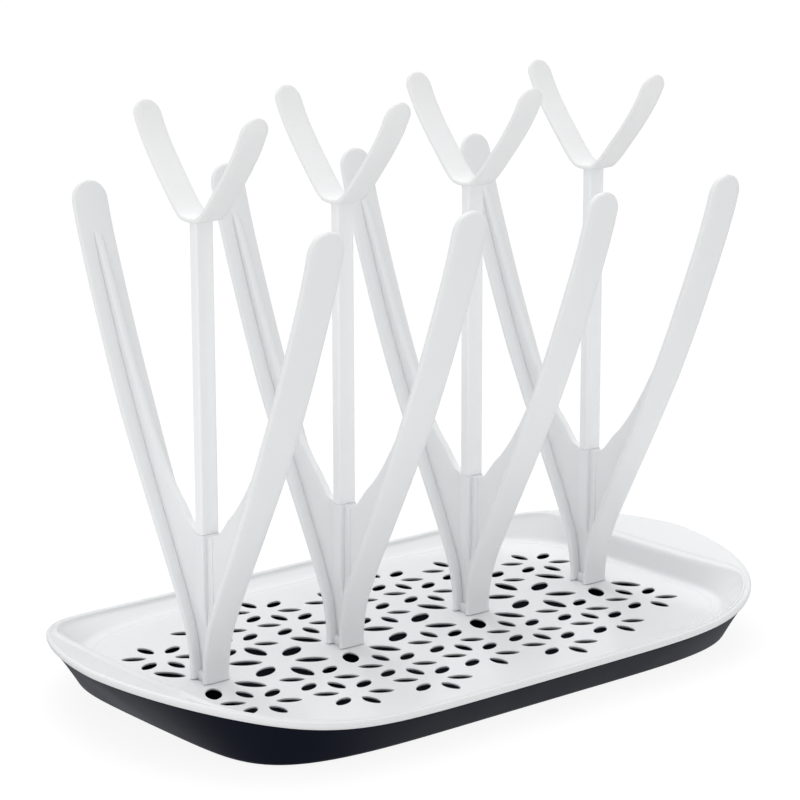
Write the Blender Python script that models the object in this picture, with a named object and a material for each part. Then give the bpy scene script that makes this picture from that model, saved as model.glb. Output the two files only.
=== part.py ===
"""Bottle drying rack: a dark base tray, a white perforated drip plate that lies on it, and a row
of four racks.  Each rack is a fork with two curved arms that stands in a socket of the plate, and
a post that stands in a socket of the fork and carries a V-shaped head.

Frame: metres, +Z up.  The rack stands on z = 0, X runs along the row and Y across it.
"""
import math

import bmesh
import bpy
import numpy as np

MM = 0.001
GAP = 0.3 * MM                    # left between pieces that touch or slide in each other

# ---- driving dimensions ------------------------------------------------------------------------
RACKS = 4
PITCH = 75 * MM                   # from one rack to the next
PLATE_Z = 14.6 * MM               # top of the perforated floor above the table

RIM_SIZE = (173.3 * MM, 100.2 * MM)       # half length and half width over the rim
RIM_POWER = (6.05, 1.58)          # exponents in x and y of that outline
RIM_WAVE = (12.6 * MM, 5.5 * MM, -1.3 * MM, 0.3 * MM)     # its height, a cosine series
BASE_SIZE = (142.2 * MM, 85 * MM)         # half length and half width of the flat underside
BASE_POWER = 5.5                  # exponent of that outline in both directions
LEDGE_X = 149 * MM                # inner edge of the lens-shaped ledge at each end
FOOT_X = 147 * MM                 # foot of the plate's wall at each end
LEDGE_SLOPE = 0.25                # how steeply that ledge rises outwards
LIP = 3.2 * MM                    # width of the rounded rim
SKIRT = 3.7 * MM                  # height of the rim's outer face
SEAT = 1.2 * MM                   # how far in from the rim's outline the base's wall starts
SKIN = 2.2 * MM                   # wall of the plate and the base

# drain holes: lens-shaped petals in six-petalled flowers
PETAL = (5.2 * MM, 2.4 * MM)              # half length and half width of a small petal
BIG_PETAL = (7.1 * MM, 3.2 * MM)
FLOWER_R = 12 * MM                # flower centre to petal centre
BIG_FLOWER_R = 14.8 * MM
PEG_FLOWERS = (37.2 * MM, 61.2 * MM)      # flower centres beside a rack, from the middle
MID_FLOWERS = (26.1 * MM, 50.1 * MM)      # flower centres half-way along the plate
SIDE_FLOWERS = (29.2 * MM, 53.1 * MM)     # flower centres between the outer racks
FOOT_PETAL = (9.8 * MM, 16.3 * MM)        # the four petals round the foot of a rack

# fork: (distance from the middle, height above the floor) along the outside of an arm
ARM_PATH = [(6.2, 0.3), (6.6, 9), (9.0, 21), (14.8, 35), (24.6, 55), (37.6, 81), (49.6, 106),
            (60.6, 131), (70.6, 156), (79.6, 180), (85.0, 197), (87.4, 208)]
ARM_WIDTH = (13 * MM, 18 * MM)    # at the foot and from half-way up
ARM_SKIN = 3 * MM
WEB = 3.4 * MM                    # thickness of the web between the arms and of their ribs
WEB_TOP = 66 * MM                 # bottom of the notch between the arms
RIB_END = 184 * MM                # where the rib runs out under the arm's tip
BOSS = (9.6 * MM, 7.6 * MM)       # column in the web that holds the post
TENON = (8 * MM, 7 * MM, 7 * MM)  # plug under the fork: x, y and depth
COLLAR = 1.6 * MM                 # wall of the socket under the plate
SOCKET_DEEP = 7.6 * MM            # lower end of that socket under the floor's top

# post and head
POST = (9 * MM, 5.2 * MM)
POST_PLUG = (6 * MM, 3.4 * MM, 30 * MM)   # lower end of the post inside the fork's boss
HEAD_Z = 201 * MM                 # underside of the head above the plate's floor
HEAD_PATH = [(0, 0), (6, 0.9), (11.5, 5.2), (19, 13.6), (27, 23), (34, 32.5), (38.8, 41), (41.2, 47)]
HEAD_WIDTH = 14 * MM
HEAD_SKIN = 2.2 * MM

QUARTER_STEPS = 20                # points round a quarter of each tray outline


def clear_scene():
    for item in list(bpy.data.objects):
        bpy.data.objects.remove(item, do_unlink=True)


def material(name, colour, roughness):
    made = bpy.data.materials.get(name)
    if made is None:
        made = bpy.data.materials.new(name)
        made.use_nodes = True
        shader = made.node_tree.nodes["Principled BSDF"]
        shader.inputs["Base Color"].default_value = (*colour, 1)
        shader.inputs["Roughness"].default_value = roughness
        shader.inputs["Metallic"].default_value = 0
    return made


def make_object(name, bm, surface, location=(0, 0, 0)):
    bmesh.ops.remove_doubles(bm, verts=bm.verts, dist=1e-6)
    bmesh.ops.recalc_face_normals(bm, faces=bm.faces)
    mesh = bpy.data.meshes.new(name)
    bm.to_mesh(mesh)
    bm.free()
    mesh.shade_smooth()
    mesh.set_sharp_from_angle(angle=math.radians(35))
    made = bpy.data.objects.new(name, mesh)
    made.location = location
    made.data.materials.append(surface)
    bpy.context.scene.collection.objects.link(made)
    return made


def boolean(target, operation, *tools):
    """Apply a boolean with each tool object in turn, and remove the tools."""
    for tool in tools:
        modifier = target.modifiers.new(operation.title(), "BOOLEAN")
        modifier.operation = operation
        modifier.solver = "EXACT"
        modifier.object = tool
        bpy.context.view_layer.update()
        graph = bpy.context.evaluated_depsgraph_get()
        result = bpy.data.meshes.new_from_object(target.evaluated_get(graph))
        target.modifiers.remove(modifier)
        old = target.data
        target.data = result
        bpy.data.meshes.remove(old)
        bpy.data.objects.remove(tool, do_unlink=True)
    target.data.shade_smooth()
    target.data.set_sharp_from_angle(angle=math.radians(35))


# ---- shapes ------------------------------------------------------------------------------------
def loft(bm, rings, close=True):
    """Skin a list of equal-length closed rings of points and cap the first and the last."""
    rows = [[bm.verts.new(point) for point in ring] for ring in rings]
    count = len(rows[0])
    for lower, upper in zip(rows, rows[1:]):
        for i in range(count):
            j = (i + 1) % count
            bm.faces.new((lower[i], lower[j], upper[j], upper[i]))
    if close:
        bm.faces.new(rows[0][::-1])
        bm.faces.new(rows[-1])


def box(bm, low, high):
    (x0, y0, z0), (x1, y1, z1) = low, high
    loft(bm, [[(x0, y0, z), (x1, y0, z), (x1, y1, z), (x0, y1, z)] for z in (z0, z1)])


def smooth_curve(points, steps):
    """Points along a Catmull-Rom curve through the given points, `steps` to each span."""
    pts = np.array(points, float)
    first = 2 * pts[0] - pts[1]
    last = 2 * pts[-1] - pts[-2]
    pts = np.vstack([first, pts, last])
    out = []
    for a, b, c, d in zip(pts, pts[1:], pts[2:], pts[3:]):
        for k in range(steps):
            t = k / steps
            out.append(0.5 * (2 * b + (c - a) * t + (2 * a - 5 * b + 4 * c - d) * t ** 2
                              + (3 * b - a - 3 * c + d) * t ** 3))
    out.append(pts[-2])
    return np.array(out)


def curve_normals(path):
    """Unit normals of a flat path, to the right of its direction."""
    along = np.gradient(path, axis=0)
    along /= np.linalg.norm(along, axis=1)[:, None]
    return np.stack([along[:, 1], -along[:, 0]], axis=1)


def strip(bm, path, half_width, thick, crown):
    """Sweep a crowned strip along a path in the YZ plane.  The path is the strip's outer face,
    half_width is a list with one value for each point, and crown rounds that face's edges."""
    normals = curve_normals(path)
    rings = []
    for (y, z), (ny, nz), half in zip(path, normals, half_width):
        section = [(-half, crown), (-0.65 * half, 0), (0.65 * half, 0), (half, crown),
                   (half, thick - 0.4 * crown), (0.8 * half, thick),
                   (-0.8 * half, thick), (-half, thick - 0.4 * crown)]
        rings.append([(x, y - ny * depth, z - nz * depth) for x, depth in section])
    loft(bm, rings)


def round_tip(path, half_width, radius):
    """Narrow a strip's half widths to a round end at the last point of its path."""
    step = np.linalg.norm(np.diff(path, axis=0), axis=1)
    to_end = np.append(np.cumsum(step[::-1])[::-1], 0)
    inside = np.clip(1 - to_end / radius, 0, 0.96)
    return half_width * np.sqrt(1 - inside ** 2)


def refine_tip(path, radius, steps):
    """Replace the last stretch of a path by points that crowd towards its end."""
    step = np.linalg.norm(np.diff(path, axis=0), axis=1)
    run = np.append(0, np.cumsum(step))
    keep = run < run[-1] - radius
    angles = np.linspace(0, math.pi / 2, steps + 1)
    extra = run[-1] - radius + radius * np.sin(angles)
    tip = np.stack([np.interp(extra, run, path[:, k]) for k in (0, 1)], axis=1)
    return np.vstack([path[keep], tip])


# ---- tray --------------------------------------------------------------------------------------
def tray_angles():
    """Angles round the tray, closer together towards the middle of the long sides."""
    quarter = [math.pi / 2 * (1 - (1 - k / QUARTER_STEPS) ** 1.6) for k in range(QUARTER_STEPS)]
    half = quarter + [math.pi - angle for angle in [math.pi / 2] + quarter[:0:-1]]
    return half + [math.pi + angle for angle in half]


def rim_point(angle, inset=0.0):
    """Outline of the rim: round arcs at the ends, nearly straight along the sides."""
    c, s = math.cos(angle), math.sin(angle)
    x = (RIM_SIZE[0] - inset) * math.copysign(abs(c) ** (2 / RIM_POWER[0]), c)
    y = (RIM_SIZE[1] - inset) * math.copysign(abs(s) ** (2 / RIM_POWER[1]), s)
    return x, y


def base_point(angle, inset=0.0):
    """Outline of the base's underside, a superellipse, in the same direction as the rim's."""
    x, y = rim_point(angle)
    x, y = x / RIM_SIZE[0], y / RIM_SIZE[1]
    reach = (abs(x) ** BASE_POWER + abs(y) ** BASE_POWER) ** (-1 / BASE_POWER)
    return (BASE_SIZE[0] - inset) * reach * x, (BASE_SIZE[1] - inset) * reach * y


def rim_height(angle):
    """Top of the rim above the plate's floor: high round the short ends, low along the sides."""
    return sum(part * math.cos(2 * k * angle) for k, part in enumerate(RIM_WAVE))


def soft_limit(value, limit):
    """The smaller of a size and its limit, rounded over where they meet."""
    blend = 2 * MM
    return -blend * math.log(math.exp(-abs(value) / blend) + math.exp(-limit / blend))


def rim_ring(inset, drop):
    ring = []
    for angle in tray_angles():
        ring.append((*rim_point(angle, inset), PLATE_Z + rim_height(angle) - drop))
    return ring


def ledge_ring(limit, inset, drop):
    """Top of the plate's wall: it follows the rim, but is cut straight inside the end ledges."""
    ring = []
    for angle in tray_angles():
        rim_x, y = rim_point(angle, inset)
        x = soft_limit(rim_x, limit)
        fall = LEDGE_SLOPE * (abs(rim_x) - x)
        ring.append((math.copysign(x, rim_x), y, PLATE_Z + rim_height(angle) - fall - drop))
    return ring


def wall_point(angle, z, inset):
    """A point of the base's straight flared wall at height z, moved inwards by inset."""
    top = PLATE_Z + rim_height(angle) - SKIRT - GAP
    part = (z - SKIN) / (top - SKIN)
    x0, y0 = base_point(angle, inset)
    x1, y1 = rim_point(angle, inset + SEAT)
    return x0 + (x1 - x0) * part, y0 + (y1 - y0) * part


def plate_foot_ring(inset, z):
    """Where the plate's wall meets its floor: inside the base's wall, and straight at the ends."""
    ring = []
    for angle in tray_angles():
        x, y = wall_point(angle, PLATE_Z - SKIN, SKIN + 1.4 * MM + inset)
        ring.append((math.copysign(soft_limit(x, FOOT_X - inset), x), y, z))
    return ring


def base_foot_ring(inset, z):
    return [(*base_point(angle, inset), z) for angle in tray_angles()]


def build_base_tray():
    bm = bmesh.new()
    seat = SKIRT + GAP
    loft(bm, [
        base_foot_ring(SKIN, SKIN),
        rim_ring(SEAT + SKIN, seat),
        rim_ring(SEAT, seat),
        base_foot_ring(-0.6 * MM, 0.8 * MM),
        base_foot_ring(0.4 * MM, 0),
    ])
    make_object("base_tray", bm, material("tray_navy", (0.012, 0.015, 0.026), 0.42))


def build_drip_plate():
    bm = bmesh.new()
    loft(bm, [
        plate_foot_ring(2.2 * MM, PLATE_Z),
        plate_foot_ring(1.0 * MM, PLATE_Z + 1.0 * MM),
        ledge_ring(LEDGE_X - 0.4 * MM, LIP + 0.4 * MM, 2.2 * MM),
        ledge_ring(LEDGE_X + 1.2 * MM, LIP - 0.6 * MM, 0.9 * MM),
        rim_ring(LIP - 1.0 * MM, 0.6 * MM),
        rim_ring(1.6 * MM, 0),
        rim_ring(0.5 * MM, 0.7 * MM),
        rim_ring(0, 1.9 * MM),
        rim_ring(0.4 * MM, 3.1 * MM),
        rim_ring(SEAT, SKIRT),
        rim_ring(SEAT + SKIN, SKIRT),
        ledge_ring(LEDGE_X + SKIN, LIP + 0.9 * MM, SKIRT),
        plate_foot_ring(-0.6 * MM, PLATE_Z - 0.6 * MM),
        plate_foot_ring(0.8 * MM, PLATE_Z - SKIN),
    ])
    white = material("plate_white", (0.82, 0.83, 0.84), 0.25)
    plate = make_object("drip_plate", bm, white)
    boolean(plate, "UNION", *[socket_collar(x, white) for x in rack_places()])
    boolean(plate, "DIFFERENCE", drain_holes(white), sockets(white))


def rack_places():
    return [(i - (RACKS - 1) / 2) * PITCH for i in range(RACKS)]


def socket_size():
    return TENON[0] / 2 + GAP, TENON[1] / 2 + GAP


def socket_collar(x, surface):
    half_x, half_y = (size + COLLAR for size in socket_size())
    bm = bmesh.new()
    box(bm, (x - half_x, -half_y, PLATE_Z - SOCKET_DEEP), (x + half_x, half_y, PLATE_Z - SKIN / 2))
    return make_object("collar", bm, surface)


def sockets(surface):
    half_x, half_y = socket_size()
    bm = bmesh.new()
    for x in rack_places():
        box(bm, (x - half_x, -half_y, 0), (x + half_x, half_y, PLATE_Z + SKIN))
    return make_object("sockets", bm, surface)


def petal(bm, x, y, angle, size):
    """A lens-shaped prism through the plate's floor: two arcs that meet in points."""
    half_long, half_wide = size
    outline = []
    for along, across in ((1, 0), (0.45, 1), (-0.45, 1), (-1, 0), (-0.45, -1), (0.45, -1)):
        a = half_long * along
        b = half_wide * across * 0.93
        outline.append((x + a * math.cos(angle) - b * math.sin(angle),
                        y + a * math.sin(angle) + b * math.cos(angle)))
    loft(bm, [[(px, py, z) for px, py in outline]
              for z in (PLATE_Z - 2 * SKIN, PLATE_Z + SKIN)])


def flower_petals(x, y, radius, size, degrees):
    return [(x + radius * math.cos(math.radians(a)), y + radius * math.sin(math.radians(a)),
             math.radians(a), size) for a in degrees]


def petal_layout():
    """Every petal as (x, y, angle, size).  Flowers above each other share the petal between."""
    places = []
    foot_x, foot_y = FOOT_PETAL
    for x in rack_places():
        at_end = abs(x) > PITCH
        for side in (1, -1):
            places += flower_petals(x, side * PEG_FLOWERS[0], FLOWER_R, PETAL,
                                    (30, 90, 150, 210, 270, 330))
            if not at_end:
                places += flower_petals(x, side * PEG_FLOWERS[1], FLOWER_R, PETAL,
                                        (30, 150, 210, 330, 90 * side))
            for way in (1, -1):
                angle = math.atan2(side * foot_y, way * foot_x)
                places.append((x + way * foot_x, side * foot_y, angle, BIG_PETAL))
    for x in (-PITCH, 0, PITCH):
        centres, upright = (SIDE_FLOWERS, BIG_PETAL) if x else (MID_FLOWERS, PETAL)
        places += flower_petals(x, 0, BIG_FLOWER_R, BIG_PETAL, (30, 150, 210, 330))
        for side in (1, -1):
            places += flower_petals(x, 0, centres[0] - FLOWER_R, upright, (90 * side,))
            for y in centres:
                places += flower_petals(x, side * y, FLOWER_R, PETAL,
                                        (30, 150, 210, 330, 90 * side))
    return places


def drain_holes(surface):
    bm = bmesh.new()
    for x, y, angle, size in petal_layout():
        petal(bm, x, y, angle, size)
    return make_object("drain_holes", bm, surface)


# ---- forks -------------------------------------------------------------------------------------
def arm_curve():
    return smooth_curve(ARM_PATH, 2) * MM


def rib_depth(height):
    """How far the rib stands in from the arm's inner face, at a height above the floor."""
    up = np.clip((RIB_END - height) / (RIB_END - 62 * MM), 0, 1)
    return (0.4 + 9.6 * up ** 1.7) * MM


def web_outline():
    """Outline in YZ of the web and its two ribs, above the floor: a wide V with a flat notch."""
    path = arm_curve()
    normals = curve_normals(path)
    middle = path - normals * ARM_SKIN / 2
    reach = path[:, 1] < RIB_END
    outer = middle[reach]
    inner = []
    for (y, z), (ny, nz) in zip(path[reach], normals[reach]):
        depth = ARM_SKIN + rib_depth(z)
        inner.append((y - ny * depth, z - nz * depth))
    inner = [point for point in inner if point[1] > WEB_TOP + 9 * MM]
    start_y, start_z = inner[0]
    end_y = 8 * MM
    corner = []
    for k in range(5):
        t = k / 5
        a, b = (1 - t) ** 2, 2 * t * (1 - t)
        corner.append((a * start_y + b * (start_y - 7 * MM) + t * t * end_y,
                       a * start_z + b * WEB_TOP + t * t * WEB_TOP))
    right = [tuple(point) for point in outer] + inner[::-1][:-1] + corner + [(end_y, WEB_TOP)]
    left = [(-y, z) for y, z in right[::-1]]
    return right + left


def build_fork(index, x):
    white = material(f"fork_white_{index}", (0.84, 0.85, 0.86), 0.3)
    path = arm_curve()
    radius = ARM_WIDTH[1] / 2
    path = refine_tip(path, radius, 6)
    grow = np.clip(path[:, 1] / (110 * MM), 0, 1)
    half = (ARM_WIDTH[0] + (ARM_WIDTH[1] - ARM_WIDTH[0]) * grow) / 2
    half = round_tip(path, half, radius)
    arms = []
    for side in (1, -1):
        bm = bmesh.new()
        strip(bm, path, half, ARM_SKIN, 0.9 * MM)
        for vert in bm.verts:
            vert.co.y *= side
        arms.append(make_object("arm", bm, white))

    bm = bmesh.new()
    loft(bm, [[(side * WEB / 2, y, z) for y, z in web_outline()] for side in (-1, 1)])
    web = make_object("web", bm, white)

    bm = bmesh.new()
    box(bm, (-BOSS[0] / 2, -BOSS[1] / 2, 0.3 * MM), (BOSS[0] / 2, BOSS[1] / 2, WEB_TOP))
    boss = make_object("boss", bm, white)

    bm = bmesh.new()
    box(bm, (-TENON[0] / 2, -TENON[1] / 2, -TENON[2]), (TENON[0] / 2, TENON[1] / 2, 4 * MM))
    tenon = make_object("tenon", bm, white)

    bm = bmesh.new()
    low = WEB_TOP - POST_PLUG[2] - GAP
    half_x, half_y = POST_PLUG[0] / 2 + GAP, POST_PLUG[1] / 2 + GAP
    box(bm, (-half_x, -half_y, low), (half_x, half_y, WEB_TOP + 5 * MM))
    pocket = make_object("pocket", bm, white)

    fork = arms[0]
    fork.name = f"fork_{index}"
    boolean(fork, "UNION", arms[1], web, boss, tenon)
    boolean(fork, "DIFFERENCE", pocket)
    fork.location = (x, 0, PLATE_Z)


# ---- posts and heads ---------------------------------------------------------------------------
def rounded_section(half_x, half_y, cut, z):
    corners = [(half_x - cut, -half_y), (half_x, -half_y + cut), (half_x, half_y - cut),
               (half_x - cut, half_y), (-half_x + cut, half_y), (-half_x, half_y - cut),
               (-half_x, -half_y + cut), (-half_x + cut, -half_y)]
    return [(px, py, z) for px, py in corners]


def build_post(index, x):
    bm = bmesh.new()
    plug_x, plug_y, plug_long = POST_PLUG
    low = WEB_TOP - plug_long
    shoulder = WEB_TOP + GAP
    loft(bm, [
        rounded_section(plug_x / 2, plug_y / 2, 0.5 * MM, low),
        rounded_section(plug_x / 2, plug_y / 2, 0.5 * MM, shoulder),
        rounded_section(POST[0] / 2, POST[1] / 2, 0.9 * MM, shoulder),
        rounded_section(POST[0] / 2, POST[1] / 2, 0.9 * MM, HEAD_Z - GAP),
    ])
    white = material(f"post_white_{index}", (0.85, 0.86, 0.87), 0.3)
    make_object(f"post_{index}", bm, white, (x, 0, PLATE_Z))


def build_head(index, x):
    half_path = smooth_curve(HEAD_PATH, 2)[1:] * MM
    radius = HEAD_WIDTH / 2
    half_path = refine_tip(half_path, radius, 5)
    half = round_tip(half_path, np.full(len(half_path), HEAD_WIDTH / 2), radius)
    path = np.vstack([half_path[::-1] * (-1, 1), [(0, 0)], half_path])
    widths = np.concatenate([half[::-1], [HEAD_WIDTH / 2], half])
    bm = bmesh.new()
    strip(bm, path, widths, HEAD_SKIN, 0.5 * MM)
    white = material(f"head_white_{index}", (0.86, 0.87, 0.88), 0.28)
    make_object(f"head_{index}", bm, white, (x, 0, PLATE_Z + HEAD_Z))


def main():
    clear_scene()
    build_base_tray()
    build_drip_plate()
    for index, x in enumerate(rack_places(), start=1):
        build_fork(index, x)
        build_post(index, x)
        build_head(index, x)


main()
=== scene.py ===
"""Looks of the bottle drying rack: finely shaped moulded pieces that stand for the plain CAD
nodes, white and navy plastic, a pale floor, soft studio light and the camera.

Metres, +Z up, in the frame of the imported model.  X runs along the row of racks and Y across it.
"""

import math

import bmesh
import bpy
import numpy as np
from mathutils import Matrix, Vector


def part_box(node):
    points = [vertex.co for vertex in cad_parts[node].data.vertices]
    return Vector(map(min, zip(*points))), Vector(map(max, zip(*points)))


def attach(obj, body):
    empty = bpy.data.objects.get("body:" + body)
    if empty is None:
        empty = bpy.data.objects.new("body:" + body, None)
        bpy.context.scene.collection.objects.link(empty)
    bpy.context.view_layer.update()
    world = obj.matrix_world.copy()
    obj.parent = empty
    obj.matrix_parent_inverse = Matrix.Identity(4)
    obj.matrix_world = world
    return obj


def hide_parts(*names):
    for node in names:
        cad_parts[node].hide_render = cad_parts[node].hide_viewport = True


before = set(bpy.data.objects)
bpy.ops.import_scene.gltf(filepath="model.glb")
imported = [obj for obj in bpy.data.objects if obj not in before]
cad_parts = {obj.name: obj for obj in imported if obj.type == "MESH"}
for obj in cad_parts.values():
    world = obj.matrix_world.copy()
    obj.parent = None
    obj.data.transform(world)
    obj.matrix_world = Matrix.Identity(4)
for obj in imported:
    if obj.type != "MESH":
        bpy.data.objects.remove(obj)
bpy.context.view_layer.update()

MM = 0.001
RACKS = 4

# ---- places from the frame, and the shapes that repeat the CAD's dimensions ---------------------
TENON_DEEP = 7 * MM               # how far the fork reaches into its socket
FLOOR_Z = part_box("fork_1")[0].z + TENON_DEEP           # top of the plate's perforated floor
RIM_SIZE = tuple(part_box("drip_plate")[1])[:2]          # half sizes of the rim's outline
RIM_POWER = (6.05, 1.58)          # how square that outline is, along X and along Y
RIM_WAVE = (12.6 * MM, 5.5 * MM, -1.3 * MM, 0.3 * MM)  # the rim's height above the floor, as cosines
BASE_SIZE = (142.2 * MM, 85 * MM)                      # half sizes of the base's underside
BASE_POWER = 5.5
LEDGE_X = 149 * MM                # inner edge of the ledge at each end
LEDGE_SLOPE = 0.25                # fall of a ledge towards the inside, for each unit of its width
FOOT_X = 147 * MM                 # where the wall meets the floor at each end
LIP = 3.2 * MM                    # width of the rim's lip
SKIRT = 3.7 * MM                  # height of the rim's outer edge
SEAT = 1.2 * MM                   # how far the rim stands out past the base's wall
SKIN = 2.2 * MM                   # thickness of the trays' walls
FLOOR_SKIN = 1.1 * MM             # the plate's floor, which is thinner than its wall
GAP = 0.3 * MM                    # play between pieces that come apart

PETAL = (5.2 * MM, 2.4 * MM)      # half sizes of a petal hole
BIG_PETAL = (7.1 * MM, 3.2 * MM)
FLOWER_R = 12 * MM                # from a flower's middle to the middles of its petals
BIG_FLOWER_R = 14.8 * MM
PEG_FLOWERS = (37.2 * MM, 61.2 * MM)    # how far the flowers beside a rack are from the row,
MID_FLOWERS = (26.1 * MM, 50.1 * MM)    # those between the two middle racks,
SIDE_FLOWERS = (29.2 * MM, 53.1 * MM)   # and those between the outer ones
FOOT_PETAL = (9.8 * MM, 16.3 * MM)      # place of the petals at a fork's foot

# Outer face of an arm in mm, as (from the middle, above the floor), from the foot to the tip.
ARM_PATH = [(6.2, 0.3), (6.6, 9), (9.0, 21), (14.8, 35), (24.6, 55), (37.6, 81), (49.6, 106),
            (60.6, 131), (70.6, 156), (79.6, 180), (85.0, 197), (87.4, 208)]
ARM_WIDTH = (13 * MM, 18 * MM)    # at the foot and further up
ARM_SKIN = 3 * MM
WEB = 3.4 * MM                    # thickness of the web between the arms and of the ribs
WEB_TOP = 66 * MM                 # height of the notch's bottom
CREASE = 0.5 * MM                 # depth of the crease beside the web and the ribs
# How far the rib stands in from its arm in mm, as (above the floor, depth).
RIB_PATH = [(62, 16), (75, 10.5), (92, 7.3), (120, 5), (150, 3.7), (166, 2.9), (177, 1.9), (186, 0)]
BOSS = (9.4 * MM, 6.0 * MM, 33 * MM)      # the post's boss in the web: x, y and lower end
PAD = (4.4 * MM, 12.6 * MM)       # the slightly thicker stretch of web around it
TENON = (8 * MM, 7 * MM)          # sizes of the tenon under a fork
COLLAR = 1.9 * MM                 # from the tenon's side to the outside of the socket's collar
GUIDE_ROOM = 0.5 * MM             # between that collar and the base's guide round it
GUIDE_WALL = 1.5 * MM
POST = (9 * MM, 5.2 * MM)         # the post's section
POST_PLUG = (6 * MM, 3.4 * MM, 30 * MM)   # its plug: x, y and length
HEAD_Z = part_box("head_1")[0].z - FLOOR_Z
# Lower, outer face of one side of a head in mm, as (from the middle, above its lowest point).
HEAD_PATH = [(0, 0), (6, 0.9), (11.5, 5.2), (19, 13.6), (27, 23), (34, 32.5), (38.8, 41), (41.2, 47)]
HEAD_WIDTH = 14 * MM
HEAD_SKIN = 2.2 * MM

QUARTER_STEPS = 44                # points round a quarter of each tray outline
ROUND_STEPS = 4                   # points round each rounded corner of a section


def rack_places():
    """Middle of each rack along X."""
    places = []
    for index in range(1, RACKS + 1):
        low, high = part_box(f"post_{index}")
        places.append((low.x + high.x) / 2)
    return places


# ---- mesh helpers ------------------------------------------------------------------------------
def loft(rings, cap=True):
    """Vertices and faces of a skin over closed rings, an array of (ring, point, xyz)."""
    rings = np.asarray(rings)
    rows, count = rings.shape[:2]
    faces = []
    for row in range(rows - 1):
        for i in range(count):
            a, b = row * count + i, row * count + (i + 1) % count
            faces.append((a, b, b + count, a + count))
    if cap:
        faces.append(tuple(range(count))[::-1])
        faces.append(tuple(range((rows - 1) * count, rows * count)))
    return rings.reshape(-1, 3).tolist(), faces


def mesh_object(name, verts, faces, surface):
    """A closed, smooth-shaded object with its faces pointing out."""
    mesh = bpy.data.meshes.new(name)
    mesh.from_pydata(verts, [], faces)
    bm = bmesh.new()
    bm.from_mesh(mesh)
    bmesh.ops.remove_doubles(bm, verts=bm.verts, dist=1e-6)
    bmesh.ops.recalc_face_normals(bm, faces=bm.faces)
    bm.to_mesh(mesh)
    bm.free()
    smooth(mesh)
    made = bpy.data.objects.new(name, mesh)
    mesh.materials.append(surface)
    bpy.context.scene.collection.objects.link(made)
    return made


def smooth(mesh):
    mesh.shade_smooth()
    mesh.set_sharp_from_angle(angle=math.radians(40))


def boolean(target, operation, tool):
    """Apply an exact boolean with the tool object, and remove the tool."""
    modifier = target.modifiers.new(operation.title(), "BOOLEAN")
    modifier.operation = operation
    modifier.solver = "EXACT"
    modifier.object = tool
    bpy.context.view_layer.update()
    graph = bpy.context.evaluated_depsgraph_get()
    result = bpy.data.meshes.new_from_object(target.evaluated_get(graph))
    target.modifiers.remove(modifier)
    old = target.data
    target.data = result
    bpy.data.meshes.remove(old)
    bpy.data.objects.remove(tool, do_unlink=True)
    smooth(result)


def rounded(controls, steps=ROUND_STEPS):
    """Rings of a section whose corners are rounded.  Each control is a ring and the distance from
    its corner at which the rounding starts."""
    rings = [np.asarray(ring, float) for ring, _ in controls]
    out = [rings[0]]
    for i in range(1, len(rings) - 1):
        corner, radius = rings[i], controls[i][1]
        if radius == 0:
            out.append(corner)
            continue
        ends = []
        for other in (rings[i - 1], rings[i + 1]):
            away = other - corner
            length = np.maximum(np.linalg.norm(away, axis=1, keepdims=True), 1e-9)
            ends.append(corner + away * np.minimum(0.46, radius / length))
        for t in np.linspace(0, 1, steps + 1):
            out.append((1 - t) ** 2 * ends[0] + 2 * t * (1 - t) * corner + t * t * ends[1])
    out.append(rings[-1])
    return out


def rounded_box(half_x, half_y, radius, z, steps=4):
    """A ring in the XY plane: a rectangle with round corners."""
    ring = []
    for corner in range(4):
        for k in range(steps + 1):
            angle = (corner + k / steps) * math.pi / 2
            x = math.copysign(half_x - radius, (1, -1, -1, 1)[corner])
            y = math.copysign(half_y - radius, (1, 1, -1, -1)[corner])
            ring.append((x + radius * math.cos(angle), y + radius * math.sin(angle), z))
    return ring


def smooth_curve(points, steps):
    """Points along a Catmull-Rom curve through the given points, `steps` to each span."""
    pts = np.array(points, float)
    pts = np.vstack([2 * pts[0] - pts[1], pts, 2 * pts[-1] - pts[-2]])
    out = []
    for a, b, c, d in zip(pts, pts[1:], pts[2:], pts[3:]):
        for k in range(steps):
            t = k / steps
            out.append(0.5 * (2 * b + (c - a) * t + (2 * a - 5 * b + 4 * c - d) * t ** 2
                              + (3 * b - a - 3 * c + d) * t ** 3))
    out.append(pts[-2])
    return np.array(out)


def curve_normals(path):
    """Unit normals of a flat path, to the right of its direction."""
    along = np.gradient(path, axis=0)
    along /= np.linalg.norm(along, axis=1)[:, None]
    return np.stack([along[:, 1], -along[:, 0]], axis=1)


def run_length(path):
    return np.append(0, np.cumsum(np.linalg.norm(np.diff(path, axis=0), axis=1)))


def refine_tip(path, radius, steps):
    """Replace the last stretch of a path by points that crowd towards its end."""
    run = run_length(path)
    angles = np.linspace(0, math.pi / 2, steps + 1)
    extra = run[-1] - radius + radius * np.sin(angles)
    tip = np.stack([np.interp(extra, run, path[:, k]) for k in (0, 1)], axis=1)
    return np.vstack([path[run < run[-1] - radius - 0.1 * MM], tip])


def tip_factors(path, radius, edge):
    """Along a path: how far its width and its thickness are kept towards a round end."""
    run = run_length(path)
    to_end = run[-1] - run
    inside = np.clip(1 - to_end / radius, 0, 0.992)
    rim = np.clip(1 - to_end / edge, 0, 0.9)
    return np.sqrt(1 - inside ** 2), np.sqrt(1 - rim ** 2)


# ---- tray --------------------------------------------------------------------------------------
def tray_angles():
    """Angles round the tray, closer together towards the middle of the long sides."""
    quarter = math.pi / 2 * (1 - (1 - np.arange(QUARTER_STEPS) / QUARTER_STEPS) ** 1.6)
    half = np.concatenate([quarter, math.pi - np.append(math.pi / 2, quarter[:0:-1])])
    return np.concatenate([half, math.pi + half])


ANGLES = tray_angles()


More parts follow.
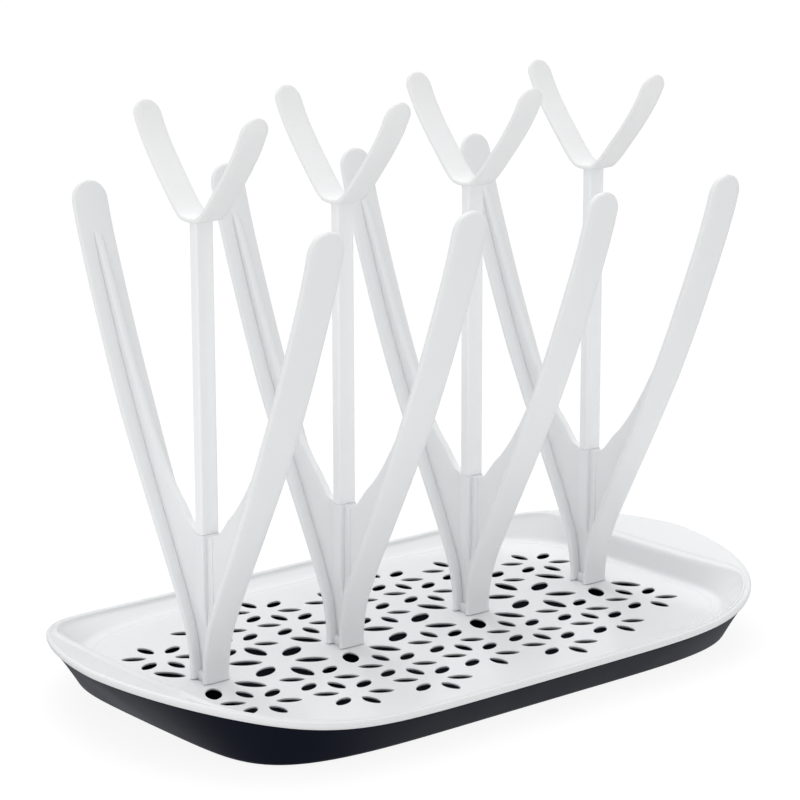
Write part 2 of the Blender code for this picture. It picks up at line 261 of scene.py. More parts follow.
def rim_outline(inset=0.0):
    """Outline of the rim: round arcs at the ends, nearly straight along the sides."""
    c, s = np.cos(ANGLES), np.sin(ANGLES)
    x = (RIM_SIZE[0] - inset) * np.sign(c) * np.abs(c) ** (2 / RIM_POWER[0])
    y = (RIM_SIZE[1] - inset) * np.sign(s) * np.abs(s) ** (2 / RIM_POWER[1])
    return x, y


def base_outline(inset=0.0):
    """Outline of the base's underside, in the same direction from the middle as the rim's."""
    x, y = rim_outline()
    x, y = x / RIM_SIZE[0], y / RIM_SIZE[1]
    reach = (np.abs(x) ** BASE_POWER + np.abs(y) ** BASE_POWER) ** (-1 / BASE_POWER)
    return (BASE_SIZE[0] - inset) * reach * x, (BASE_SIZE[1] - inset) * reach * y


def rim_height():
    """Top of the rim above the floor: high round the short ends, low along the sides."""
    return sum(part * np.cos(2 * k * ANGLES) for k, part in enumerate(RIM_WAVE))


def soft_limit(value, limit):
    """The smaller of a size and its limit, rounded over where they meet."""
    blend = 2 * MM
    return -blend * np.log(np.exp(-np.abs(value) / blend) + np.exp(-limit / blend))


def stack(x, y, z):
    return np.stack([x, y, np.broadcast_to(z, x.shape)], axis=1)


def rim_ring(inset, drop):
    return stack(*rim_outline(inset), FLOOR_Z + rim_height() - drop)


def ledge_ring(limit, inset, drop):
    """Top of the plate's wall: it follows the rim, but is cut straight inside the end ledges."""
    rim_x, y = rim_outline(inset)
    x = soft_limit(rim_x, limit)
    fall = LEDGE_SLOPE * (np.abs(rim_x) - x)
    return stack(np.sign(rim_x) * x, y, FLOOR_Z + rim_height() - fall - drop)


def wall_outline(z, inset):
    """The base's straight flared wall at height z, moved inwards by inset."""
    top = FLOOR_Z + rim_height() - SKIRT - GAP
    part = (z - SKIN) / (top - SKIN)
    x0, y0 = base_outline(inset)
    x1, y1 = rim_outline(inset + SEAT)
    return x0 + (x1 - x0) * part, y0 + (y1 - y0) * part


def foot_ring(inset, z):
    """Where the plate's wall meets its floor: inside the base's wall, and straight at the ends."""
    x, y = wall_outline(FLOOR_Z - SKIN, SKIN + 1.4 * MM + inset)
    return stack(np.sign(x) * soft_limit(x, FOOT_X - inset), y, z)


def base_ring(inset, z):
    return stack(*base_outline(inset), z)


def build_tray(surface):
    """The dark base: a shell with a rounded foot and a flared wall under the plate's rim."""
    seat = SKIRT + GAP
    foot = 3.2 * MM
    controls = [
        (base_ring(40 * MM, SKIN), 0),
        (base_ring(SKIN + 1 * MM, SKIN), 4 * MM),
        (rim_ring(SEAT + SKIN, seat), 0.5 * MM),
        (rim_ring(SEAT, seat), 0.5 * MM),
        (base_ring(-0.9 * MM, 0), foot),
        (base_ring(8 * MM, 0), 0.4 * MM),
        (base_ring(9.2 * MM, 0.8 * MM), 0.4 * MM),
        (base_ring(40 * MM, 0.8 * MM), 0),
    ]
    tray = mesh_object("tray_shell", *loft(rounded(controls, 6)), surface)
    top = FLOOR_Z - FLOOR_SKIN - 0.8 * MM
    outside = guide_blocks(SKIN - 0.5 * MM, top, GUIDE_ROOM + GUIDE_WALL, surface)
    boolean(tray, "UNION", outside)
    inside = guide_blocks(SKIN + 0.4 * MM, top + 0.5 * MM, GUIDE_ROOM, surface)
    boolean(tray, "DIFFERENCE", inside)
    return tray


def guide_blocks(low, top, more, surface):
    """Blocks that stand `more` outside the plate's socket collars, for the dark guides round them."""
    size = [side / 2 + COLLAR + more for side in TENON]
    lofts = [[shifted(rounded_box(*size, 1.2 * MM, z), x) for z in (low, top)] for x in rack_places()]
    return join_lofts("guides", lofts, surface)


def build_plate(surface):
    """The white plate: floor with a shallow step, filleted wall, ledges at the ends, rolled rim."""
    step = 0.45 * MM
    bead = 0.7 * MM
    controls = [
        (foot_ring(7.4 * MM, FLOOR_Z), 0),
        (foot_ring(5.6 * MM, FLOOR_Z), 0.4 * MM),
        (foot_ring(4.9 * MM, FLOOR_Z + step), 0.5 * MM),
        (foot_ring(1.4 * MM, FLOOR_Z + step), 2.4 * MM),
        (ledge_ring(LEDGE_X - 1.2 * MM, LIP + 0.9 * MM, 2.0 * MM), 1.4 * MM),
        (ledge_ring(LEDGE_X + 0.2 * MM, LIP + 0.1 * MM, 0.9 * MM - bead), 1.6 * MM),
        (ledge_ring(LEDGE_X + 3.0 * MM, LIP - 0.6 * MM, 0.9 * MM - bead), 1.2 * MM),
        (ledge_ring(LEDGE_X + 4.6 * MM, LIP - 1.0 * MM, 0.8 * MM), 1.2 * MM),
        (rim_ring(LIP - 1.3 * MM, 0.6 * MM), 1.2 * MM),
        (rim_ring(1.2 * MM, 0), 0.8 * MM),
        (rim_ring(0, 0.8 * MM), 0.8 * MM),
        (rim_ring(0, 2.4 * MM), 0.8 * MM),
        (rim_ring(0.7 * MM, SKIRT), 0.4 * MM),
        (rim_ring(SEAT + SKIN, SKIRT), 0.4 * MM),
        (ledge_ring(LEDGE_X + SKIN, LIP + 0.9 * MM, SKIRT), 1.2 * MM),
        (foot_ring(-0.4 * MM, FLOOR_Z - 0.6 * MM), 1.6 * MM),
        (foot_ring(2.4 * MM, FLOOR_Z - FLOOR_SKIN), 0),
    ]
    plate = mesh_object("perforated_plate", *loft(rounded(controls)), surface)
    boolean(plate, "UNION", socket_collars(surface))
    boolean(plate, "DIFFERENCE", petal_cutters(surface))
    boolean(plate, "DIFFERENCE", socket_cutters(surface))
    flat = plate.modifiers.new("Flat floor", "WEIGHTED_NORMAL")
    flat.keep_sharp = True
    flat.weight = 100
    return plate


def join_lofts(name, lofts, surface):
    """One object from several separate closed lofts."""
    verts, faces = [], []
    for ring_list in lofts:
        more, sides = loft(ring_list)
        faces += [tuple(i + len(verts) for i in side) for side in sides]
        verts += more
    return mesh_object(name, verts, faces, surface)


def shifted(ring, x):
    return [(px + x, py, pz) for px, py, pz in ring]


def socket_collars(surface):
    lofts = []
    low, high = FLOOR_Z - 7.6 * MM, FLOOR_Z - FLOOR_SKIN / 2
    for x in rack_places():
        size = (TENON[0] / 2 + COLLAR, TENON[1] / 2 + COLLAR)
        lofts.append([shifted(rounded_box(*size, 1.2 * MM, z), x) for z in (low, high)])
    return join_lofts("collars", lofts, surface)


def socket_cutters(surface):
    lofts = []
    for x in rack_places():
        rings = []
        for z, more in ((0, 0), (FLOOR_Z - 0.5 * MM, 0), (FLOOR_Z + SKIN, 2.4 * MM)):
            size = (TENON[0] / 2 + GAP + more, TENON[1] / 2 + GAP + more)
            rings.append(shifted(rounded_box(*size, 0.6 * MM + more, z), x))
        lofts.append(rings)
    return join_lofts("sockets", lofts, surface)


def petal_rings(x, y, angle, size):
    """A petal hole as a cutter: opening below, and into a soft lip at the floor's top."""
    lip = ((-2 * SKIN, 2.4 * MM), (-0.45 * MM, 0.4 * MM), (-0.3 * MM, 0.4 * MM),
           (-0.14 * MM, 0.48 * MM), (-0.03 * MM, 0.65 * MM), (0.6 * MM, 1.4 * MM))
    turn = np.linspace(0, 2 * math.pi, 24, endpoint=False)
    rings = []
    for rise, more in lip:
        a = (size[0] + more) * np.cos(turn)
        b = (size[1] + more) * np.sign(np.sin(turn)) * np.abs(np.sin(turn)) ** 1.25
        rings.append(stack(x + a * math.cos(angle) - b * math.sin(angle),
                           y + a * math.sin(angle) + b * math.cos(angle), FLOOR_Z + rise))
    return rings


def flower_petals(x, y, radius, size, degrees):
    return [(x + radius * math.cos(math.radians(a)), y + radius * math.sin(math.radians(a)),
             math.radians(a), size) for a in degrees]


def petal_layout():
    """Every petal as (x, y, angle, size).  Flowers above each other share the petal between."""
    racks = rack_places()
    pitch = racks[1] - racks[0]
    foot_x, foot_y = FOOT_PETAL
    places = []
    for x in racks:
        at_end = abs(x) > pitch
        for side in (1, -1):
            places += flower_petals(x, side * PEG_FLOWERS[0], FLOWER_R, PETAL,
                                    (30, 90, 150, 210, 270, 330))
            if not at_end:
                places += flower_petals(x, side * PEG_FLOWERS[1], FLOWER_R, PETAL,
                                        (30, 150, 210, 330, 90 * side))
            for way in (1, -1):
                angle = math.atan2(side * foot_y, way * foot_x)
                places.append((x + way * foot_x, side * foot_y, angle, BIG_PETAL))
    for x in (-pitch, 0, pitch):
        centres, upright = (SIDE_FLOWERS, BIG_PETAL) if x else (MID_FLOWERS, PETAL)
        places += flower_petals(x, 0, BIG_FLOWER_R, BIG_PETAL, (30, 150, 210, 330))
        for side in (1, -1):
            places += flower_petals(x, 0, centres[0] - FLOWER_R, upright, (90 * side,))
            for y in centres:
                places += flower_petals(x, side * y, FLOWER_R, PETAL,
                                        (30, 150, 210, 330, 90 * side))
    return places


def petal_cutters(surface):
    return join_lofts("petals", [petal_rings(*petal) for petal in petal_layout()], surface)


# ---- forks -------------------------------------------------------------------------------------
def rib_depth(height):
    """How far the rib stands in from the arm's inner face, at a height above the floor."""
    heights, depths = (smooth_curve(RIB_PATH, 5) * MM).T
    return np.maximum(np.interp(height, heights, depths), 0)


def notch_curve(path, normals):
    """Edge of the web and the rib on one side: from the middle of the notch out and up the arm."""
    depth = ARM_SKIN + rib_depth(path[:, 1])
    edge = path - normals * depth[:, None]
    edge = edge[edge[:, 1] > WEB_TOP + 9 * MM]
    start = edge[0]
    flat_end = np.array([8 * MM, WEB_TOP])
    bend = np.array([start[0] - 7 * MM, WEB_TOP])
    corner = [(1 - t) ** 2 * flat_end + 2 * t * (1 - t) * bend + t * t * start
              for t in np.linspace(0, 1, 14)[:-1]]
    return np.vstack([[(0, WEB_TOP)], [(4 * MM, WEB_TOP)], corner, edge])


def fork_rows():
    """Rows of points over a quarter of the fork, x and y not below 0.  Each row starts on the
    outer face of the arm, goes round its edge and along the web to the rib's edge or the middle."""
    path = smooth_curve(ARM_PATH, 6) * MM
    radius = ARM_WIDTH[1] / 2
    path = refine_tip(path, radius, 12)
    normals = curve_normals(path)
    width_kept, thick_kept = tip_factors(path, radius, 1.4 * MM)
    grow = np.clip(path[:, 1] / (110 * MM), 0, 1)
    half = (ARM_WIDTH[0] + (ARM_WIDTH[1] - ARM_WIDTH[0]) * grow) / 2 * width_kept
    flare = 0.5 * MM * np.clip(1 - path[:, 1] / (2.2 * MM), 0, 1)
    half = half + flare

    low_z, high_z = 52 * MM, 96 * MM      # between these the rows end along the notch
    edge = notch_curve(path, normals)
    edge_run = run_length(edge)
    run = run_length(path)
    run_low = run[path[:, 1] >= low_z][0]
    run_high = np.interp(high_z, path[:, 1], run)
    edge_high = np.interp(high_z, edge[:, 1] - 3 * MM, edge_run)

    rows = []
    for i, ((y, z), normal) in enumerate(zip(path, normals)):
        inward = -normal
        rib = rib_depth(z)
        if z < low_z:
            target = np.array([0, z * WEB_TOP / low_z])
        elif z < high_z:
            at = (run[i] - run_low) / (run_high - run_low) * edge_high
            target = np.array([np.interp(at, edge_run, edge[:, k]) for k in (0, 1)])
        else:
            start_gap = np.array([np.interp(edge_high, edge_run, edge[:, k]) for k in (0, 1)])
            at_high = np.array([np.interp(run_high, run, path[:, k]) for k in (0, 1)])
            high_normal = np.array([np.interp(run_high, run, normals[:, k]) for k in (0, 1)])
            skew = start_gap - (at_high - high_normal * (ARM_SKIN + rib_depth(high_z)))
            fade = np.clip(1 - (run[i] - run_high) / (60 * MM), 0, 1) ** 2
            target = np.array([y, z]) + inward * (ARM_SKIN + rib) + skew * fade
        rows.append(fork_row((y, z), inward, target, half[i], thick_kept[i], z < low_z))
    return rows


def fork_row(start, inward, target, half, thick_kept, joins):
    """One row of the fork's quarter.  `joins` says that it ends at the middle of the web."""
    start = np.array(start)
    mid = ARM_SKIN / 2

    def at(x, depth):
        squeezed = mid + (depth - mid) * thick_kept
        point = start + inward * squeezed
        return x, point[0], point[1]

    edge = min(1.1 * MM, half * 0.45)
    row = [at(half * share, depth * MM) for share, depth in ((0, 0), (0.3, 0.02), (0.6, 0.1))]
    row.append(at(half - edge, 0.22 * MM))
    row.append(at(half - 0.42 * edge, 0.5 * MM))
    row.append(at(half - 0.1 * edge, 0.95 * MM))
    row.append(at(half, 1.5 * MM))
    row.append(at(half - 0.1 * edge, ARM_SKIN - 0.75 * MM))
    row.append(at(half - 0.4 * edge, ARM_SKIN - 0.25 * MM))
    row.append(at(half - 0.95 * edge, ARM_SKIN))

    web = min(WEB / 2, half * 0.3)
    sunk = inward * mid * (1 - thick_kept)
    root = start + inward * ARM_SKIN - sunk
    target = target - sunk
    long = np.linalg.norm(target - root)
    towards = (target - root) / max(long, 1e-9)
    fillet = min(0.35 * MM, 0.42 * long)
    spread = min(0.35 * MM, half * 0.3) * min(1, long / (1 * MM))
    crease = CREASE * min(1, long / (1 * MM))
    row.append(at(web + 2.2 * spread, ARM_SKIN))
    row.append(at(web + 1.7 * spread, ARM_SKIN - 0.15 * crease))
    row.append(at(web + 1.0 * spread, ARM_SKIN - crease))
    row.append(at(web + 0.5 * spread, ARM_SKIN - crease))
    point = root + towards * fillet
    row.append((web, point[0], point[1]))
    round_off = min(0.9 * MM, 0.45 * long)
    for share in (0.35, 0.7):
        point = root + towards * (fillet + (long - fillet - round_off) * share)
        row.append((web, point[0], point[1]))
    if joins:
        row += [(web, target[0], target[1])] * 4
    else:
        for turn in (0, 30, 60, 90):
            angle = math.radians(turn)
            point = target - towards * round_off * (1 - math.sin(angle))
            row.append((web * math.cos(angle), point[0], point[1]))
    return row


def quarter_mesh(rows):
    """Skin the fork's quarter, close its foot and its tip, and mirror it to the whole fork."""
    bm = bmesh.new()
    grid = [[bm.verts.new(point) for point in row] for row in rows]
    for lower, upper in zip(grid, grid[1:]):
        for a, b, c, d in zip(lower, lower[1:], upper[1:], upper):
            if max(v.co.y for v in (a, b, c, d)) > 1e-7:
                bm.faces.new((a, b, c, d))
    middle = bm.verts.new((0, 0, grid[0][0].co.z))
    bm.faces.new(grid[0] + [middle])
    bm.faces.new(grid[-1])
    bmesh.ops.remove_doubles(bm, verts=bm.verts, dist=1e-6)
    for axis in (0, 1):
        copy = bmesh.ops.duplicate(bm, geom=bm.verts[:] + bm.edges[:] + bm.faces[:])["geom"]
        for item in copy:
            if isinstance(item, bmesh.types.BMVert):
                item.co[axis] *= -1
        turned = [item for item in copy if isinstance(item, bmesh.types.BMFace)]
        bmesh.ops.reverse_faces(bm, faces=turned)
        bmesh.ops.remove_doubles(bm, verts=bm.verts, dist=1e-6)
    bmesh.ops.dissolve_degenerate(bm, edges=bm.edges, dist=1e-7)
    verts = [tuple(v.co) for v in bm.verts]
    bm.verts.index_update()
    faces = [tuple(v.index for v in face.verts) for face in bm.faces]
    bm.free()
    return verts, faces


def build_fork_mesh(surface):
    """The fork about its own foot: arms, ribs and web, the post's boss with its pocket, the tenon."""
    fork = mesh_object("fork", *quarter_mesh(fork_rows()), surface)
    for name, rings in (("boss", boss_rings()), ("pad", pad_rings()), ("tenon", tenon_rings())):
        boolean(fork, "UNION", mesh_object(name, *loft(rings), surface))
    boolean(fork, "DIFFERENCE", mesh_object("pocket", *loft(pocket_rings()), surface))
    return fork


def boss_rings():
    """The post's boss, which fades into the web below its lower end."""
    half_x, half_y, low = BOSS[0] / 2, BOSS[1] / 2, BOSS[2]
    corner, fade = 0.8 * MM, 14 * MM
    return rounded([(rounded_box(1.2 * MM, 1.2 * MM, 0.5 * MM, low - fade), 0),
                    (rounded_box(half_x, half_y, corner, low), 6 * MM),
                    (rounded_box(half_x, half_y, corner, WEB_TOP), 0.4 * MM),
                    (rounded_box(half_x - 1.5 * MM, half_y - 1.5 * MM, 0.2 * MM, WEB_TOP), 0)])


def pad_rings():
    """The thicker stretch of web beside the boss, narrowing towards the foot."""
    half_x, half_y, corner = PAD[0] / 2, PAD[1] / 2, 0.3 * MM
    low, full, top = 8 * MM, 34 * MM, WEB_TOP - 0.4 * MM
    return rounded([(rounded_box(half_x, 1.5 * MM, corner, low), 0),
                    (rounded_box(half_x, half_y, corner, full), 3 * MM),
                    (rounded_box(half_x, half_y, corner, top), 0.4 * MM),
                    (rounded_box(half_x - 1 * MM, half_y - 2 * MM, corner, top), 0)])


def tenon_rings():
    """The tenon below the fork's foot, with a bevelled end."""
    half_x, half_y, corner = TENON[0] / 2, TENON[1] / 2, 0.6 * MM
    return rounded([(rounded_box(1 * MM, 1 * MM, 0.5 * MM, -TENON_DEEP), 0),
                    (rounded_box(half_x, half_y, corner, -TENON_DEEP), 0.8 * MM),
                    (rounded_box(half_x, half_y, corner, 4 * MM), 0)])


def pocket_rings():
    """The pocket in the boss that takes the post's plug."""
    size = (POST_PLUG[0] / 2 + GAP, POST_PLUG[1] / 2 + GAP)
    bottom = WEB_TOP - POST_PLUG[2] - GAP
    return [rounded_box(*size, 0.5 * MM, z) for z in (bottom, WEB_TOP + 5 * MM)]


# ---- posts and heads ---------------------------------------------------------------------------
def post_section(half_x, half_y, groove, z):
    """A bar's section with rounded edges and a shallow channel along its two broad faces."""
    corner = 0.9 * MM
    ring = []
    for x, y in rounded_shape(half_x, half_y, corner):
        inside = math.exp(-(x / (0.5 * half_x)) ** 4)
        ring.append((x, y - math.copysign(groove * inside, y) if abs(y) > half_y - corner else y, z))
    return ring


def rounded_shape(half_x, half_y, corner):
    """Points of a rounded rectangle, with extra points along its broad faces."""
    points = [(x, y) for x, y, _ in rounded_box(half_x, half_y, corner, 0)]
    out = []
    for (x0, y0), (x1, y1) in zip(points, points[1:] + points[:1]):
        count = 10 if abs(x1 - x0) > half_x else 1
        for k in range(count):
            out.append((x0 + (x1 - x0) * k / count, y0 + (y1 - y0) * k / count))
    return out


def build_post_mesh(surface):
    """The post about its rack's foot: a plug below its shoulder, and a bar up to the head."""
    plug = POST_PLUG[0] / 2, POST_PLUG[1] / 2
    low, shoulder = WEB_TOP - POST_PLUG[2], WEB_TOP + 0.04 * MM
    top = HEAD_Z + 0.45 * MM
    controls = [
        (post_section(plug[0] - 1 * MM, plug[1] - 0.6 * MM, 0, low), 0),
        (post_section(plug[0] - 0.3 * MM, plug[1] - 0.3 * MM, 0, low), 0.4 * MM),
        (post_section(*plug, 0, low + 3 * MM), 0.4 * MM),
        (post_section(*plug, 0, shoulder), 0.2 * MM),
        (post_section(POST[0] / 2, POST[1] / 2, 0, shoulder), 0.35 * MM),
        (post_section(POST[0] / 2, POST[1] / 2, 0, shoulder + 3 * MM), 1 * MM),
        (post_section(POST[0] / 2, POST[1] / 2, 0.35 * MM, shoulder + 8 * MM), 2 * MM),
        (post_section(POST[0] / 2, POST[1] / 2, 0.35 * MM, top - 8 * MM), 2 * MM),
        (post_section(POST[0] / 2, POST[1] / 2, 0, top - 3 * MM), 1 * MM),
        (post_section(POST[0] / 2, POST[1] / 2, 0, top), 0),
    ]
    return mesh_object("post", *loft(rounded(controls)), surface)


def build_head_mesh(surface):
    """The V-shaped head about the middle of its underside: a ribbon with soft edges and tips."""
    half_path = smooth_curve(HEAD_PATH, 7)[1:] * MM
    radius = HEAD_WIDTH / 2
    half_path = refine_tip(half_path, radius, 10)
    width_kept, thick_kept = tip_factors(half_path, radius, 1.1 * MM)
    path = np.vstack([half_path[::-1] * (-1, 1), [(0, 0)], half_path])
    widths = np.concatenate([width_kept[::-1], [1], width_kept]) * radius
    kept = np.concatenate([thick_kept[::-1], [1], thick_kept])
    mid = HEAD_SKIN / 2
    rings = []
    for (y, z), (ny, nz), half, thick in zip(path, curve_normals(path), widths, kept):
        edge = min(0.9 * MM, 0.45 * half)
        side = [(0.5 * half, 0.03 * MM), (half - edge, 0.12 * MM), (half - 0.35 * edge, 0.4 * MM),
                (half, mid), (half - 0.35 * edge, HEAD_SKIN - 0.35 * MM),
                (half - edge, HEAD_SKIN - 0.06 * MM), (0.5 * half, HEAD_SKIN)]
        section = side + [(0, HEAD_SKIN)] + [(-x, d) for x, d in side[::-1]] + [(0, 0)]
        ring = []
        for x, depth in section:
            depth = mid + (depth - mid) * thick
            ring.append((x, y - ny * depth, z - nz * depth))
        rings.append(ring)
    return mesh_object("head", *loft(rings), surface)


# ---- materials ---------------------------------------------------------------------------------
def noise(tree, place, scale, detail, stretch=(1, 1, 1)):
    """A noise texture in the piece's own space; scale is in features per metre."""
    mapping = tree.nodes.new("ShaderNodeMapping")
    mapping.inputs["Scale"].default_value = stretch
    texture = tree.nodes.new("ShaderNodeTexNoise")
    texture.inputs["Scale"].default_value = scale
    texture.inputs["Detail"].default_value = detail
    tree.links.new(place.outputs["Object"], mapping.inputs["Vector"])
    tree.links.new(mapping.outputs["Vector"], texture.inputs["Vector"])
    return texture.outputs["Fac"]


def remap(tree, value, low, high, to_low, to_high):
    node = tree.nodes.new("ShaderNodeMapRange")
    tree.links.new(value, node.inputs["Value"])
    for name, number in (("From Min", low), ("From Max", high), ("To Min", to_low), ("To Max", to_high)):
        node.inputs[name].default_value = number
    return node.outputs["Result"]


def blend_colours(tree, share, first, second):
    """Mix two colours; each is a colour or an output socket."""
    node = tree.nodes.new("ShaderNodeMix")
    node.data_type = "RGBA"
    tree.links.new(share, node.inputs["Factor"])
    for socket, colour in ((node.inputs[6], first), (node.inputs[7], second)):
        if isinstance(colour, tuple):
            socket.default_value = (*colour, 1)
        else:
            tree.links.new(colour, socket)
    return node.outputs[2]


def combine(tree, operation, first, second):
    node = tree.nodes.new("ShaderNodeMath")
    node.operation = operation
    tree.links.new(first, node.inputs[0])
    tree.links.new(second, node.inputs[1])
    return node.outputs[0]


def plastic(name, colour, drift, edge, roughness, grain, scuffs):
    """Moulded plastic.  `drift` is the colour it drifts to in soft patches, `edge` that of a painted
    highlight on convex edges, `roughness` its range, `grain` the mould's texture as (features per metre,
    height), and `scuffs` how much fine wiping marks add to the roughness."""
    made = bpy.data.materials.new(name)
    made.use_nodes = True
    tree = made.node_tree
    shader = tree.nodes["Principled BSDF"]
    place = tree.nodes.new("ShaderNodeTexCoord")

    patches = remap(tree, noise(tree, place, 22, 2), 0.2, 0.8, 0, 1)
    body = blend_colours(tree, patches, colour, drift)
    geometry = tree.nodes.new("ShaderNodeNewGeometry")
    # Painted highlight: convex edges, found by pointiness and broken up by noise, are lightened towards
    # the `edge` colour.
    edge_highlight_mask = remap(tree, geometry.outputs["Pointiness"], 0.57, 0.66, 0, 0.7)
    broken = remap(tree, noise(tree, place, 160, 4), 0.35, 0.65, 0.3, 1)
    painted_edge_highlight = combine(tree, "MULTIPLY", edge_highlight_mask, broken)
    tree.links.new(blend_colours(tree, painted_edge_highlight, body, edge), shader.inputs["Base Color"])

    cloudy = remap(tree, noise(tree, place, 45, 2), 0.2, 0.8, *roughness)
    wiped = remap(tree, noise(tree, place, 700, 2, (1, 0.03, 0.03)), 0.2, 0.8, 0, scuffs)
    tree.links.new(combine(tree, "ADD", cloudy, wiped), shader.inputs["Roughness"])

    features, height = grain
    fine = noise(tree, place, features, 2)
    waves = remap(tree, noise(tree, place, 90, 1), 0, 1, 0, 1.6)
    bump = tree.nodes.new("ShaderNodeBump")
    bump.inputs["Strength"].default_value = 1
    bump.inputs["Distance"].default_value = height
    tree.links.new(combine(tree, "ADD", fine, waves), bump.inputs["Height"])
    tree.links.new(bump.outputs["Normal"], shader.inputs["Normal"])
    shader.inputs["Metallic"].default_value = 0
    shader.inputs["IOR"].default_value = 1.5
    return made


def white_plastic(name, tint, roughness, scuffs):
    # The third colour is the painted highlight on convex edges.
    made = plastic(name, tint, tuple(0.985 * c for c in tint), (0.9, 0.9, 0.9), roughness,
                   (1500, 0.006 * MM), scuffs)
    shader = made.node_tree.nodes["Principled BSDF"]
    shader.inputs["Subsurface Weight"].default_value = 0.12
    shader.inputs["Subsurface Radius"].default_value = (1.0, 0.9, 0.8)
    shader.inputs["Subsurface Scale"].default_value = 2 * MM
    return made


def navy_plastic():
    """Satin navy that hardly mirrors the room, but is paler and bluer at a flat angle."""
    # The third colour is the painted highlight on the convex edges.
    made = plastic("navy_satin", (0.006, 0.0073, 0.0135), (0.007, 0.0085, 0.016), (0.02, 0.022, 0.03),
                   (0.36, 0.44), (900, 0.012 * MM), 0.03)
    shader = made.node_tree.nodes["Principled BSDF"]
    shader.inputs["Specular IOR Level"].default_value = 0.035
    shader.inputs["Specular Tint"].default_value = (0.75, 0.8, 1, 1)
    shader.inputs["Sheen Weight"].default_value = 0.05
    shader.inputs["Sheen Roughness"].default_value = 0.3
    shader.inputs["Sheen Tint"].default_value = (0.55, 0.6, 1, 1)
    return made


# ---- pieces ------------------------------------------------------------------------------------
def settle(piece, body, node):
    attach(piece, body)
    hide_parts(node)


def copies(pattern, kind, body, height):
    """One object for each rack that shares the pattern's mesh, standing on its rack's foot."""
    for index, x in enumerate(rack_places(), start=1):
        piece = bpy.data.objects.new(f"{kind}_moulded_{index}", pattern.data)
        bpy.context.scene.collection.objects.link(piece)
        piece.location = (x, 0, FLOOR_Z + height)
        settle(piece, f"{body}_{index}", f"{kind}_{index}")
    bpy.data.objects.remove(pattern, do_unlink=True)


def build_pieces():
    # The plate's white is darker than the forks': partly a greyer moulding, partly painted shade for the
    # tray's wall and floor.
    plate_shaded_white = white_plastic("plate_gloss_white", (0.795, 0.805, 0.815), (0.14, 0.22), 0.02)
    fork_white = white_plastic("fork_white", (0.84, 0.85, 0.86), (0.26, 0.36), 0.02)
    post_white = white_plastic("post_white", (0.90, 0.91, 0.92), (0.26, 0.36), 0.02)
    head_white = white_plastic("head_white", (0.86, 0.865, 0.87), (0.24, 0.34), 0.02)
    settle(build_tray(navy_plastic()), "base", "base_tray")
    settle(build_plate(plate_shaded_white), "plate", "drip_plate")
    copies(build_fork_mesh(fork_white), "fork", "fork_body", 0)
    copies(build_post_mesh(post_white), "post", "post_body", 0)
    copies(build_head_mesh(head_white), "head", "post_body", HEAD_Z)


# ---- studio ------------------------------------------------------------------------------------
FLOOR_SIZE = 14
FLOOR_GLOW = 0.89
AIM = Vector((-67.8 * MM, -75.8 * MM, FLOOR_Z + 131.6 * MM))      # what the camera looks at
AZIMUTH, ELEVATION, ROLL = math.radians(-39.57), math.radians(13.56), math.radians(-0.12)
DISTANCE = 1.135
FOCAL = 123.9                     # in mm, for a sensor 36 mm wide
ROOM = ((0, 0.05), (0.16, 1.2), (0.31, 0.85), (0.46, 1.2), (0.56, 0.56), (0.72, 0.55), (0.88, 1.0),
        (1, 1.0))                 # how bright the room is, from straight down to straight up
LAMP_WAY = Vector((-0.22, -0.5, -0.83))         # the way the lamp's light goes
LAMP_ANGLE = math.radians(50)     # how broad the lamp looks
LAMP_ENERGY = 1.6


def build_floor():
    """A pale lit table.  Only the camera sees it, so that the pieces don't mirror its glow."""
    made = bpy.data.materials.new("pale_floor")
    made.use_nodes = True
    shader = made.node_tree.nodes["Principled BSDF"]
    shader.inputs["Base Color"].default_value = (0.12, 0.12, 0.12, 1)
    shader.inputs["Roughness"].default_value = 0.9
    shader.inputs["Specular IOR Level"].default_value = 0
    shader.inputs["Emission Color"].default_value = (1, 1, 1, 1)
    shader.inputs["Emission Strength"].default_value = FLOOR_GLOW
    half = FLOOR_SIZE / 2
    corners = [(-half, -half, 0), (half, -half, 0), (half, half, 0), (-half, half, 0)]
    floor = mesh_object("pale_floor", corners, [(0, 1, 2, 3)], made)
    floor.location.z = -0.2 * MM
    floor.visible_diffuse = False
    floor.visible_glossy = False


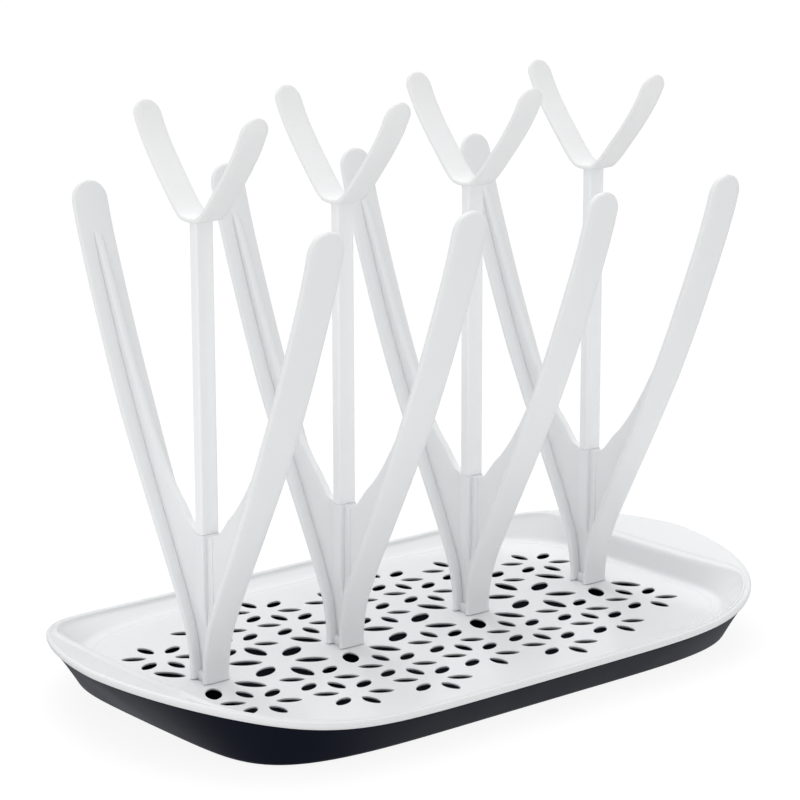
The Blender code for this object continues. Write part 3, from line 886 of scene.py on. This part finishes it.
def build_light():
    """A room that is bright below the horizon and overhead, dimmer just above the horizon and dark
    straight down, brighter on the left and in front, and one broad soft lamp above and behind."""
    world = bpy.data.worlds.new("studio")
    world.use_nodes = True
    tree = world.node_tree
    place = tree.nodes.new("ShaderNodeTexCoord")
    split = tree.nodes.new("ShaderNodeSeparateXYZ")
    tree.links.new(place.outputs["Generated"], split.inputs["Vector"])
    height = remap(tree, split.outputs["Z"], -1, 1, 0, 1)
    level = tree.nodes.new("ShaderNodeValToRGB")
    tree.links.new(height, level.inputs["Fac"])
    steps = level.color_ramp.elements
    for share, light in ROOM:
        step = steps[0] if share == 0 else steps[-1] if share == 1 else steps.new(share)
        step.color = (light, light, light, 1)
    left = remap(tree, split.outputs["X"], -0.9, 0.2, 0.3, 0)
    front = remap(tree, split.outputs["Y"], -0.2, 0.6, 1, 0.6)
    background = tree.nodes["Background"]
    background.inputs["Color"].default_value = (1, 1, 1, 1)
    bright = combine(tree, "MULTIPLY", level.outputs["Color"], front)
    tree.links.new(combine(tree, "ADD", bright, left), background.inputs["Strength"])
    bpy.context.scene.world = world
    data = bpy.data.lights.new("softbox", "SUN")
    data.angle = LAMP_ANGLE
    data.energy = LAMP_ENERGY
    lamp = bpy.data.objects.new("softbox", data)
    lamp.rotation_euler = LAMP_WAY.to_track_quat("-Z", "Y").to_euler()
    lamp.visible_glossy = False
    bpy.context.scene.collection.objects.link(lamp)
    bpy.context.scene.view_settings.view_transform = "Standard"


def build_camera():
    back = Vector((math.sin(AZIMUTH) * math.cos(ELEVATION), -math.cos(AZIMUTH) * math.cos(ELEVATION),
                   math.sin(ELEVATION)))
    right = (-back).cross(Vector((0, 0, 1))).normalized()
    up = right.cross(-back)
    turned_right = right * math.cos(ROLL) + up * math.sin(ROLL)
    turned_up = up * math.cos(ROLL) - right * math.sin(ROLL)
    data = bpy.data.cameras.new("camera")
    data.sensor_width = 36
    data.lens = FOCAL
    data.clip_start, data.clip_end = 0.05, 50
    camera = bpy.data.objects.new("camera", data)
    camera.matrix_world = Matrix.Translation(AIM + back * DISTANCE) @ Matrix(
        (turned_right, turned_up, back)).transposed().to_4x4()
    bpy.context.scene.collection.objects.link(camera)
    bpy.context.scene.camera = camera


build_camera()
build_light()
build_floor()
build_pieces()
